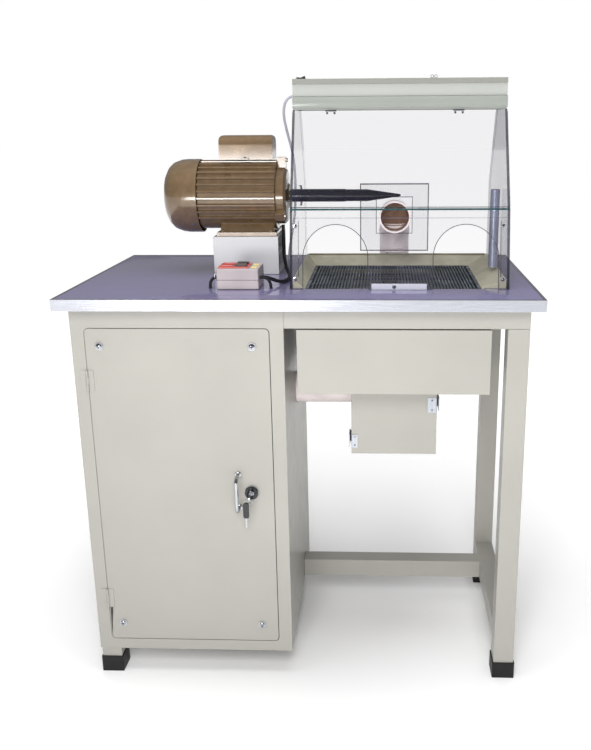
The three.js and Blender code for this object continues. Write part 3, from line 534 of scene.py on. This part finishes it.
def cabinet_door():
    dress("cabinet_door", GREIGE, bevel=0.6)
    dress("lock_barrel", BLACK_ENAMEL, bevel=0.8)
    dress("lock_key", CHROME, bevel=0.4)
    low, high = (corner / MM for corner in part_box("cabinet_door"))
    fixings = Shape()
    for x in (low.x + 33, high.x - 36):
        for z in (high.z - 37.5, low.z + 40.5):
            screw(fixings, (x, DOOR_FACE, z), "y", -1, 9)
    fixings.make("door_screws", "door", "chrome")

    # The handle: a bent round bar on two turned bases.
    box_low, box_high = (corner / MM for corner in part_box("door_handle"))
    x = (box_low.x + box_high.x) / 2
    radius, bend = 4, 11
    reach = box_low.y + radius
    foot = box_high.y
    z0, z1 = box_low.z + 7, box_high.z - 7
    lower = [(x, y, z) for y, z in arc((reach + bend, z0 + bend), bend, 270, 180, 10)]
    upper = [(x, y, z) for y, z in arc((reach + bend, z1 - bend), bend, 180, 90, 10)]
    bar = [(x, foot, z0), (x, foot - 8, z0), *lower, *upper, (x, foot - 8, z1), (x, foot, z1)]
    handle = Shape().tube(bar, radius, CHROME, 24)
    base = [(foot, 7), (foot - 1.6, 7), (foot - 2.5, 5), (foot - 2.5, 0), (foot, 0)]
    for z in (z0, z1):
        handle.turned(base, "y", (z, x), CHROME, 32)
    handle.make("handle_bar", "door", "chrome", replaces=["door_handle"])

    # The lock's bright ring, and the spare key with its ring.
    barrel = middle("lock_barrel") / MM
    lock_x, lock_z = barrel.x, barrel.z
    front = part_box("lock_barrel")[0].y / MM
    ring = [(front + 5, 15.6), (front + 1.2, 15.6), (front + 0.2, 14.4), (front + 0.2, 12.6),
            (front + 5, 12.6)]
    Shape().turned(ring, "y", (lock_z, lock_x), CHROME, 48).make("lock_ring", "door", "chrome")
    hook = front - 29
    loop = [(lock_x - 3 + u, hook, lock_z - 8.5 + w) for u, w in arc((0, 0), 9, 0, 350, 35)]
    grip_x = (lock_x - 14.5, lock_x - 2)
    grip_z = (lock_z - 45, lock_z - 9)
    round_off = 5
    corners = ((grip_x[1], grip_z[1], 0), (grip_x[0], grip_z[1], 90),
               (grip_x[0], grip_z[0], 180), (grip_x[1], grip_z[0], 270))
    outline = []
    for corner_x, corner_z, turn in corners:
        inset_x = corner_x - round_off if turn in (0, 270) else corner_x + round_off
        inset_z = corner_z - round_off if turn in (0, 90) else corner_z + round_off
        outline += arc((inset_x, inset_z), round_off, turn, turn + 90, 6)
    spare = Shape().tube(loop, 1, CHROME, 12, closed=True)
    spare.prism([(z, x) for x, z in outline], "y", (hook - 2.5, hook + 2.5), BLACK_PLASTIC)
    blade = [(lock_x - 10.7, lock_z - 44), (lock_x - 10.7, lock_z - 66), (lock_x - 8.2, lock_z - 68),
             (lock_x - 5.7, lock_z - 64), (lock_x - 6.8, lock_z - 60), (lock_x - 5.7, lock_z - 56),
             (lock_x - 6.8, lock_z - 52), (lock_x - 5.7, lock_z - 48), (lock_x - 5.7, lock_z - 44)]
    spare.prism([(z, x) for x, z in blade], "y", (hook - 1, hook + 1), CHROME)
    spare.make("spare_key_detail", "spare", "black_plastic", bevel=0.5, replaces=["spare_key"])


def table():
    dress("table_top", LAMINATE, bevel=0)
    dress("edge_trim", TRIM, bevel=0.8, segments=3)
    low, high = (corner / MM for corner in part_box("edge_trim"))
    seams = Shape()
    for x in (low.x + 6, high.x - 6):
        for y0, y1 in ((low.y + 0.2, low.y + 6.2), (high.y - 6.2, high.y - 0.2)):
            seams.block((x - 0.25, x + 0.25), (y0, y1), (high.z - 0.4, high.z + 0.05), GAP_AND_SLOT_SHADE)
    seams.make("trim_seams", "bench", "edge_metal")


# ---------------------------------------------------------------- motor

def motor():
    for node in ("motor_housing", "end_bell", "fan_cover", "capacitor_box"):
        dress(node, BRONZE, bevel=1.0)
    dress("motor_stand", WHITE, bevel=0.8)
    dress("stator", WINDING, bevel=0.5)
    dress("rotor_shaft", SHAFT, bevel=0.4)
    dress("cooling_fan", BLACK_PLASTIC, bevel=0.6)
    axis_y, axis_z = (middle("rotor_shaft") / MM)[1:]
    centre = (axis_y, axis_z)

    # The sleeve with chamfered ends, and the taper with one fine groove near its root.
    low, high = (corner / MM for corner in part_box("spindle_sleeve"))
    sleeve = [(low.x, 9.9), (low.x, 13.5), (low.x + 1.5, 15), (high.x - 1.5, 15), (high.x, 14), (high.x, 9.9)]
    Shape().turned(sleeve, "x", centre, BLACK_ENAMEL, 72).make(
        "sleeve_turned", "rotor", "black_enamel", bevel=0.3, replaces=["spindle_sleeve"])
    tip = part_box("taper_spindle")[1].x / MM
    start = high.x + 0.3
    taper = [(start, 0), (start, 14), (start + 18, 14), (start + 18.5, 13.4), (start + 20, 13.4),
             (start + 20.5, 14), (start + 51, 14), (start + 54, 13.5), (tip - 2.5, 2.8), (tip, 1.0), (tip, 0)]
    Shape().turned(taper, "x", centre, BLACK_ENAMEL, 72).make(
        "taper_turned", "rotor", "black_enamel", replaces=["taper_spindle"])

    # Screws on the cowl and the capacitor box's ear.
    fixings = Shape()
    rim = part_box("fan_cover")[1].x / MM - 12
    for degrees in (80, -45, 200):
        angle = math.radians(degrees)
        out = Vector((0, -math.cos(angle), math.sin(angle)))
        root = Vector((rim, axis_y, axis_z)) + out * 84.5
        head = Shape()
        screw(head, (0, 0, 0), "z", 1, 4.2, STEEL)
        turn = UP.rotation_difference(out).to_matrix()
        fixings.add([turn @ v + root for v in head.verts], head.faces, STEEL)
    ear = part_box("capacitor_box")
    screw(fixings, (-146, ear[0].y / MM + 3.5, ear[0].z / MM + 3), "z", 1, 4.2, STEEL)
    fixings.make("motor_screws", "bench", "bright_steel")


def switches():
    dress("switch_case", SWITCH, bevel=0)
    for module in ("motor", "blower"):
        dress(f"start_button_{module}", DARK, bevel=1.2, segments=3)
        dress(f"stop_button_{module}", RED, bevel=1.2, segments=3)
    low, high = (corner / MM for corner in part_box("switch_case"))
    bezels = Shape()
    for module in ("motor", "blower"):
        start = [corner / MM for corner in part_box(f"start_button_{module}")]
        stop = [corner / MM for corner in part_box(f"stop_button_{module}")]
        x0, x1, between = stop[0].x - 1, start[1].x + 1, (stop[1].x + start[0].x) / 2
        y0, y1 = start[0].y - 1, start[1].y + 1
        z = (high.z, high.z + 3.2)
        bezels.block((x0 - 3.5, x1 + 5), (y0 - 3, y0), z, RED)
        bezels.block((x0 - 3.5, x1 + 5), (y1, y1 + 3), z, RED)
        bezels.block((x0 - 3.5, x0), (y0, y1), z, RED)
        bezels.block((x1, x1 + 5), (y0, y1), z, RED)
        bezels.block((between - 1.3, between + 1.3), (y0, y1), z, RED)
        bezels.block((x1 + 9, x1 + 21), (y0 + 1, y1 - 1), (high.z, high.z + 0.8), YELLOW)
    bezels.make("switch_bezels", "bench", "stop_plastic", bevel=0.4)
    seam = Shape()
    seam.block((low.x - 0.15, high.x + 0.15), (low.y - 0.15, high.y + 0.15), (908.6, 909.4), GAP_AND_SLOT_SHADE)
    seam.make("switch_seam", "bench", "switch_plastic")
    clip = Shape()
    clip.block((low.x - 6, low.x), (low.y + 10, low.y + 22), (920, 921.5), STEEL)
    clip.block((low.x - 6, low.x - 4.5), (low.y + 10, low.y + 22), (912, 921.5), STEEL)
    screw(clip, (low.x - 3, low.y + 16, 921.5), "z", 1, 2.6, STEEL)
    clip.make("switch_clip", "bench", "bright_steel", bevel=0.3)


# ---------------------------------------------------------------- hood

HAND_HOLE_CENTRES = (73, 349)
HAND_HOLE_RADIUS, HAND_HOLE_FOOT, HAND_HOLE_SPRING = 69, 892, 953


def hood_sheets():
    """Clear faces and dark sawn edges: an edge face is one that doesn't face the way the sheet does."""
    facing = {"hood_side_left": RIGHT, "hood_side_right": RIGHT}
    front_low, front_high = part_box("hood_front")
    lid_low, lid_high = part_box("hood_lid")
    thickness = 5 * MM
    for node, (low, high) in {"hood_front": (front_low, front_high), "hood_lid": (lid_low, lid_high)}.items():
        lean = Vector((0, high.y - low.y - thickness, high.z - low.z)).normalized()
        facing[node] = lean.cross(RIGHT)
    facing["cover_plate"] = FRONT
    facing["header_strip"] = FRONT
    # The side sheets take the darker acrylic copies: painted grazing reflection on both, and painted shade on
    # the right one.
    faces = {"header_strip": FROSTED, "cover_plate": ACRYLIC_PLATE,
             "hood_side_left": ACRYLIC_GRAZING_REFLECTION, "hood_side_right": ACRYLIC_PAINTED_SHADE}
    edges = {"hood_front": EDGE, "hood_lid": EDGE, "hood_side_left": EDGE_GREY, "hood_side_right": EDGE_GREY,
             "cover_plate": EDGE_GREY, "header_strip": EDGE}
    for node, direction in facing.items():
        dress(node, faces.get(node, ACRYLIC), edges[node], bevel=0)
        paint_faces(node, lambda _, normal, d=direction: abs(normal.dot(d)) < 0.9 and normal.y < 0.4, 1)
    dress("hood_rear", ACRYLIC, EDGE_GREY, bevel=0)
    bend_normal = Vector((0, 0.893, 0.45))
    paint_faces("hood_rear", lambda _, n: abs(n.y) < 0.9 and abs(n.dot(bend_normal)) < 0.9, 1)


def frame_of(shape, xs, zs, y, wide):
    """A thin dark line round a rectangle in a sheet that faces the front."""
    (x0, x1), (z0, z1) = xs, zs
    ys = (y - 0.3, y)
    between = (z0 + wide, z1 - wide)
    for span_x, span_z in (((x0, x1), (z0, z0 + wide)), ((x0, x1), (z1 - wide, z1)),
                           ((x0, x0 + wide), between), ((x1 - wide, x1), between)):
        shape.block(span_x, ys, span_z, EDGE_GREY)


def hood_fittings():
    dress("panel_bracket", BRACKET, bevel=0.4)
    left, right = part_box("hood_side_left")[0].x / MM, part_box("hood_side_right")[1].x / MM
    low, high = (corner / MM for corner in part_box("hood_front"))
    lean = (high.y - low.y - 5) / (high.z - low.z)
    front_at = lambda z: low.y + (z - low.z) * lean

    # Screws through the front panel into the side sheets, and the tab's screw.
    fixings = Shape()
    for x in (left + 12, right - 14):
        for z in (1018, 909.5):
            screw(fixings, (x, front_at(z) - 0.2, z), "y", -1, 4.5)
    tab_low, tab_high = (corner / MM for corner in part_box("panel_bracket"))
    screw(fixings, (198, tab_low.y, (tab_low.z + tab_high.z) / 2), "y", -1, 4)
    fixings.make("hood_screws", "bench", "chrome")

    # A small steel tab that holds the right sheet to the tray.
    tab = Shape().block((right - 8.5, right - 5.6), (48, 74), (909, 934), STEEL)
    for y in (54, 68):
        screw(tab, (right - 8.5, y, 922), "x", -1, 2.4, STEEL)
    tab.make("sheet_tab", "bench", "bright_steel", bevel=0.3)

    # A flat stiffener inside the front panel, and square bars in its two corners.
    bars = Shape()
    back = lambda z: front_at(z) + 6
    stiff_low, stiff_high = 1033, 1035.5
    stiffener = [(back(stiff_low), stiff_low), (back(stiff_low) + 3, stiff_low),
                 (back(stiff_high) + 3, stiff_high), (back(stiff_high), stiff_high)]
    bars.prism(stiffener, "x", (left + 6, right - 6), ACRYLIC_GRAZING_REFLECTION)
    rim_z = high.z - 3.4
    rim = [(front_at(rim_z) - 0.3, rim_z), (front_at(rim_z) + 5.2, rim_z),
           (front_at(high.z) + 5.2, high.z + 0.2), (front_at(high.z) - 0.3, high.z + 0.2)]
    bars.prism(rim, "x", (left + 0.5, right - 0.5), EDGE)
    for x0, x1 in ((left + 5.5, left + 18), (right - 18, right - 5.5)):
        outline = [(back(912), 912), (back(912) + 10, 912), (back(1028) + 10, 1028), (back(1028), 1028)]
        bars.prism(outline, "x", (x0, x1), ACRYLIC)
        inner_side = (x1 - 0.6, x1) if x0 < 0 else (x0, x0 + 0.6)
        bars.prism([(y + 0.1, z) for y, z in outline], "x", inner_side, EDGE_GREY)
    bars.make("hood_bars", "bench", "clear_acrylic")

    # The polished edges of the hand holes, of the cover plate and of the rear panel's square mouth.
    rims = Shape()
    for hole_x in HAND_HOLE_CENTRES:
        crown = arc((hole_x, HAND_HOLE_SPRING), HAND_HOLE_RADIUS, 0, 180, 36)
        outline = [(hole_x + HAND_HOLE_RADIUS, HAND_HOLE_FOOT), *crown,
                   (hole_x - HAND_HOLE_RADIUS, HAND_HOLE_FOOT)]
        rims.tube([(x, front_at(z) - 0.1, z) for x, z in outline], 0.8, EDGE_GREY, 8)
    plate_low, plate_high = (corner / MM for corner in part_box("cover_plate"))
    frame_of(rims, (plate_low.x, plate_high.x), (plate_low.z, plate_high.z), plate_low.y, 2.6)
    mouth_x, mouth_z = (plate_low.x + plate_high.x) / 2, 1004
    frame_of(rims, (mouth_x - 46, mouth_x + 46), (mouth_z - 46, mouth_z + 46), plate_high.y + 0.4, 1.6)
    rims.make("acrylic_rims", "bench", "clear_acrylic")

    # Two small lid hinges, each drawn as a pin and two screws on the lid.
    lid_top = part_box("hood_lid")[1].z / MM
    hinge_y = -50.5
    for side, middle_x in (("left", 60), ("right", 336)):
        rod = [(middle_x - 12, 0), (middle_x - 12, 1.6), (middle_x + 12, 1.6), (middle_x + 12, 0)]
        pin = Shape().turned(rod, "x", (hinge_y - 0.5, lid_top + 1.5), HINGE_STEEL, 20)
        pin.make(f"lid_hinge_pin_{side}", "bench", "bright_steel")
        leaf = Shape()
        for x in (middle_x - 8, middle_x + 8):
            screw(leaf, (x, hinge_y - 3.2, lid_top - 3.5), "y", -1, 2.6, HINGE_STEEL)
        leaf.make(f"lid_hinge_screws_{side}", "lid", "chrome")


def lamp():
    dress("lamp_housing", LAMP_PAINT, LAMP_LIP, bevel=0.6)
    low, high = (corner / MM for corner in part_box("lamp_housing"))
    paint_faces("lamp_housing", lambda c, n: n.y < -0.9 and c.z > (high.z - 11) * MM, 1)
    dress("lamp_tube", LAMP_GLASS, bevel=0.6)
    dress("lamp_rocker", BLACK_PLASTIC, bevel=0.5)
    trim = Shape()
    x0, x1, y0, y1 = -16.8, 5.8, -35.8, -18.2
    for xs, ys in (((x0, x1), (y0, y0 + 2)), ((x0, x1), (y1 - 2, y1)),
                   ((x0, x0 + 1.6), (y0, y1)), ((x1 - 1.6, x1), (y0, y1))):
        trim.block(xs, ys, (high.z, high.z + 1.3), BLACK_PLASTIC)
    trim.make("rocker_frame", "bench", "black_plastic", bevel=0.3)
    seam = Shape()
    strip_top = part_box("header_strip")[1].z / MM
    seam.block((low.x + 0.3, high.x - 0.3), (-41.9, -41.2), (strip_top - 0.6, strip_top + 0.6), EDGE)
    seam.make("lamp_seam", "bench", "clear_acrylic")
    hooks = Shape()
    for x in (278, 286):
        loop = [(x + u, -40, high.z + 3.1 + w) for u, w in arc((0, 0), 3, 0, 350, 20)]
        hooks.tube(loop, 0.7, STEEL, 10, closed=True)
    hooks.make("hanging_loops", "bench", "bright_steel")


def extraction():
    """The elbow and the drop pipe, swept round, with socket collars and a dust-brown inside."""
    for node in ("suction_pipe", "suction_duct"):
        dress(node, PVC, bevel=0.4)
    low, high = (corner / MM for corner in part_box("pipe_elbow"))
    x, mouth, bottom = (low.x + high.x) / 2, low.y, low.z
    socket, bore, turn = 39.5, 35, 42
    y, z = high.y - socket, high.z - socket
    elbow = Shape()
    steps = [math.radians(angle) for angle in range(0, 91, 6)]
    bend = [(x, y - turn + turn * math.sin(a), z - turn + turn * math.cos(a)) for a in steps]
    outer_path = [(x, mouth + 20, z), (x, mouth + 30, z), *bend, (x, y, bottom + 20), (x, y, bottom + 12)]
    inner_path = [(x, mouth + 0.4, z), (x, mouth + 30, z), *bend, (x, y, bottom + 0.4)]
    sides = 48

    def skin(path, radius, material, flip):
        tube = Shape().tube(path, radius, material, sides)
        walls = tube.faces[:-2]
        elbow.add(tube.verts, [face[::-1] for face in walls] if flip else walls, material)

    collar = [(mouth, bore), (mouth, socket - 0.8), (mouth + 0.8, socket), (mouth + 19.5, socket),
              (mouth + 20.5, socket - 1.6), (mouth + 20.5, bore)]
    elbow.turned(collar, "y", (z, x), PVC, 64)
    lower = [(bottom, bore), (bottom, socket), (bottom + 11.5, socket), (bottom + 12.5, socket - 1.6),
             (bottom + 12.5, bore)]
    elbow.turned(lower, "z", (x, y), PVC, 64)
    for ring in range(3):
        low_z = bottom + 15 + 5 * ring
        high_z = low_z + 1.6
        rib = [(low_z, socket - 2), (low_z, socket - 0.9), (high_z, socket - 0.9), (high_z, socket - 2)]
        elbow.turned(rib, "z", (x, y), PVC, 64)
    skin(outer_path, socket - 1.6, PVC, False)
    skin(inner_path, bore + 0.05, PVC_DUST, True)
    elbow.make("elbow_moulding", "bench", "pvc", replaces=["pipe_elbow"])


def tray_and_grating():
    dress("dust_tray", TRAY, bevel=0.5)
    dress("tool_tube", TUBE_GREY, bevel=0.4)
    tray_low, tray_high = (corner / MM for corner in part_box("dust_tray"))
    band = Shape().block((tray_low.x + 5, tray_high.x - 5), (tray_high.y - 8.5, tray_high.y - 1.5),
                         (tray_high.z, tray_high.z + 1.2), TRAY)
    screw(band, (185, tray_high.y - 5, tray_high.z + 1.2), "z", 1, 3.4, STEEL)
    band.make("tray_seal", "bench", "tray_paint", bevel=0.4)
    low, high = (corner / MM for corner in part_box("grating"))
    grate = Shape()
    rim = 6
    z = (low.z, high.z)
    for ys in ((low.y, low.y + rim), (high.y - rim, high.y)):
        grate.block((low.x, high.x), ys, z, GRATING)
    for xs in ((low.x, low.x + rim), (high.x - rim, high.x)):
        grate.block(xs, (low.y + rim, high.y - rim), z, GRATING)
    pitch, wide, reflection_x = 7, 3.2, 187
    count = int((high.x - low.x - 2 * rim) / pitch)
    first = (low.x + high.x - (count - 1) * pitch) / 2
    for i in range(count):
        x = first + i * pitch
        # Bars within 16 mm of x 187 take the darker copy: painted reflection of the suction pipe.
        in_reflection = abs(x - reflection_x) < 16
        grate.block((x - wide / 2, x + wide / 2), (low.y + rim, high.y - rim), (low.z + 1.5, high.z - 0.3),
                    GRATING_REFLECTION if in_reflection else GRATING)
    for y in (low.y + 90, (low.y + high.y) / 2, high.y - 90):
        grate.block((low.x + rim, high.x - rim), (y - 2, y + 2), (low.z, low.z + 3), GRATING)
    grate.make("grating_bars", "dust_grating", "grating_paint", bevel=0.3, replaces=["grating"])


# ---------------------------------------------------------------- dust chamber and blower

def dust_chamber():
    dress("dust_chamber", GREIGE, bevel=0.8)
    dress("dust_box_cover", GREIGE, bevel=0.6)
    for node in ("latch_upper", "latch_lower"):
        dress(node, STEEL, bevel=0.4)
    low, high = (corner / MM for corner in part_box("dust_box_cover"))
    keepers = Shape()
    places = (((high.x - 20, high.x - 1), (618, 652)), ((low.x + 1, low.x + 14), (535, 566)))
    for (x0, x1), (z0, z1) in places:
        keepers.block((x0, x1), (low.y - 1.4, low.y), (z0, z1), STEEL)
        for z in (z0 + 6, z1 - 6):
            screw(keepers, ((x0 + x1) / 2, low.y - 1.4, z), "y", -1, 2.6)
    keepers.make("latch_keepers", "box_cover", "bright_steel", bevel=0.3)


def blower():
    dress("blower_housing", BLOWER, bevel=1.0)
    dress("blower_impeller", IMPELLER, bevel=0.4)
    low, high = (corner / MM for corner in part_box("blower_housing"))
    axis_y, axis_z = -20, 620
    fixings = Shape()
    for i in range(6):
        angle = math.radians(30 + 60 * i)
        place = (-146, axis_y + 108 * math.cos(angle), axis_z + 108 * math.sin(angle))
        screw(fixings, place, "x", -1, 4.5, STEEL)
    for i in range(4):
        angle = math.radians(45 + 90 * i)
        place = (low.x, axis_y + 44 * math.cos(angle), axis_z + 44 * math.sin(angle))
        screw(fixings, (place[0], place[1], place[2]), "x", -1, 3.5, STEEL)
    fixings.make("blower_screws", "bench", "bright_steel")

    # A louvred guard over the air outlet behind the cabinet.
    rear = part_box("cabinet_carcass")[1].y / MM
    (x0, x1), (z0, z1) = (-144, -54), (680, 736)
    guard = Shape()
    for zs in ((z0, z0 + 5), (z1 - 5, z1)):
        guard.block((x0, x1), (rear, rear + 1.5), zs, GREIGE)
    for xs in ((x0, x0 + 5), (x1 - 5, x1)):
        guard.block(xs, (rear, rear + 1.5), (z0 + 5, z1 - 5), GREIGE)
    for i in range(5):
        z = z0 + 8 + 9 * i
        slat = [(rear - 2, z + 6.2), (rear - 1.2, z + 6.6), (rear + 4.2, z + 0.8), (rear + 3.4, z + 0.2)]
        guard.prism(slat, "x", (x0 + 5, x1 - 5), GREIGE)
    for x in (x0 + 2.5, x1 - 2.5):
        for z in (z0 + 2.5, z1 - 2.5):
            screw(guard, (x, rear + 1.5, z), "y", 1, 2.2, STEEL)
    guard.make("outlet_guard", "bench", "greige_paint", bevel=0.3)


# ---------------------------------------------------------------- studio

AMBIENT = 0.27


def area_light(name, place, aim, size, power, glints=False):
    """A rectangular soft light; only one with glints shows in glossy surfaces."""
    data = bpy.data.lights.new(name, "AREA")
    data.shape = "RECTANGLE"
    data.size, data.size_y = size
    data.energy = power
    light = bpy.data.objects.new(name, data)
    light.location = place
    light.visible_glossy = glints
    light.rotation_mode = "QUATERNION"
    light.rotation_quaternion = (Vector(aim) - Vector(place)).to_track_quat("-Z", "Y")
    bpy.context.scene.collection.objects.link(light)


def studio_world():
    """White to look at; as light it is bright from above and behind, and dimmer from the front and below."""
    world = bpy.data.worlds.new("studio")
    world.use_nodes = True
    nodes, links = world.node_tree.nodes, world.node_tree.links
    seen = nodes["Background"]
    seen.inputs["Color"].default_value = (1, 1, 1, 1)
    lit = nodes.new("ShaderNodeBackground")
    lit.inputs["Strength"].default_value = AMBIENT
    place = nodes.new("ShaderNodeTexCoord")
    slope = nodes.new("ShaderNodeVectorMath")
    slope.operation = "DOT_PRODUCT"
    slope.inputs[1].default_value = (0, 0.35, 0.65)
    grade = nodes.new("ShaderNodeMapRange")
    grade.inputs["From Min"].default_value = -0.7
    grade.inputs["From Max"].default_value = 0.7
    tones = nodes.new("ShaderNodeValToRGB")
    tones.color_ramp.elements[0].color = (0.25, 0.25, 0.26, 1)
    tones.color_ramp.elements[1].color = (1, 1, 1, 1)
    choose = nodes.new("ShaderNodeMixShader")
    path = nodes.new("ShaderNodeLightPath")
    links.new(place.outputs["Generated"], slope.inputs[0])
    links.new(slope.outputs["Value"], grade.inputs["Value"])
    links.new(grade.outputs["Result"], tones.inputs["Fac"])
    links.new(tones.outputs["Color"], lit.inputs["Color"])
    links.new(path.outputs["Is Camera Ray"], choose.inputs["Fac"])
    links.new(lit.outputs["Background"], choose.inputs[1])
    links.new(seen.outputs["Background"], choose.inputs[2])
    links.new(choose.outputs["Shader"], nodes["World Output"].inputs["Surface"])
    return world


def floor_paint():
    """Pale near the bench, and glowing softly from a few metres away, as a lit backdrop does."""
    s = Surface("floor_paint", "ececec", 0.7, Emission_Color=(1, 1, 1, 1))
    s.mottle(s.noise(0.4, 2), 0.995, 1.0)
    distance = s.tree.nodes.new("ShaderNodeVectorMath")
    distance.operation = "LENGTH"
    glow = s.tree.nodes.new("ShaderNodeMapRange")
    glow.inputs["From Min"].default_value = 0.2
    glow.inputs["From Max"].default_value = 2.4
    glow.inputs["To Max"].default_value = 0.8
    s.tree.links.new(s.place, distance.inputs[0])
    s.tree.links.new(distance.outputs["Value"], glow.inputs["Value"])
    s.tree.links.new(glow.outputs["Result"], s.shader.inputs["Emission Strength"])
    return s.material


def studio():
    scene = bpy.context.scene
    scene.view_settings.view_transform = "Standard"
    scene.cycles.transparent_max_bounces = 48
    scene.world = studio_world()
    mesh = bpy.data.meshes.new("floor")
    reach = 40
    corners = [(-reach, -reach, 0), (reach, -reach, 0), (reach, reach, 0), (-reach, reach, 0)]
    mesh.from_pydata(corners, [], [(0, 1, 2, 3)])
    floor = bpy.data.objects.new("floor", mesh)
    scene.collection.objects.link(floor)
    mesh.materials.append(floor_paint())
    area_light("key", (0.05, -2.4, 2.3), (0.1, 0, 0.95), (1.0, 1.0), 47)
    area_light("front", (-0.65, -2.7, 0.86), (-0.2, 0, 1.03), (0.75, 0.4), 16, glints=True)
    area_light("fill", (0.25, -1.9, 1.05), (0.3, 0.1, 0.95), (0.6, 0.5), 12.5)
    area_light("top", (0.0, -0.2, 3.0), (0, 0, 0), (2.4, 1.8), 60)
    area_light("back", (-0.8, 2.8, 2.2), (0, 0, 0.8), (2.0, 1.6), 14)


make_camera()
cords()
steel_frame()
cabinet_door()
table()
motor()
switches()
hood_sheets()
hood_fittings()
lamp()
extraction()
tray_and_grating()
dust_chamber()
blower()
studio()
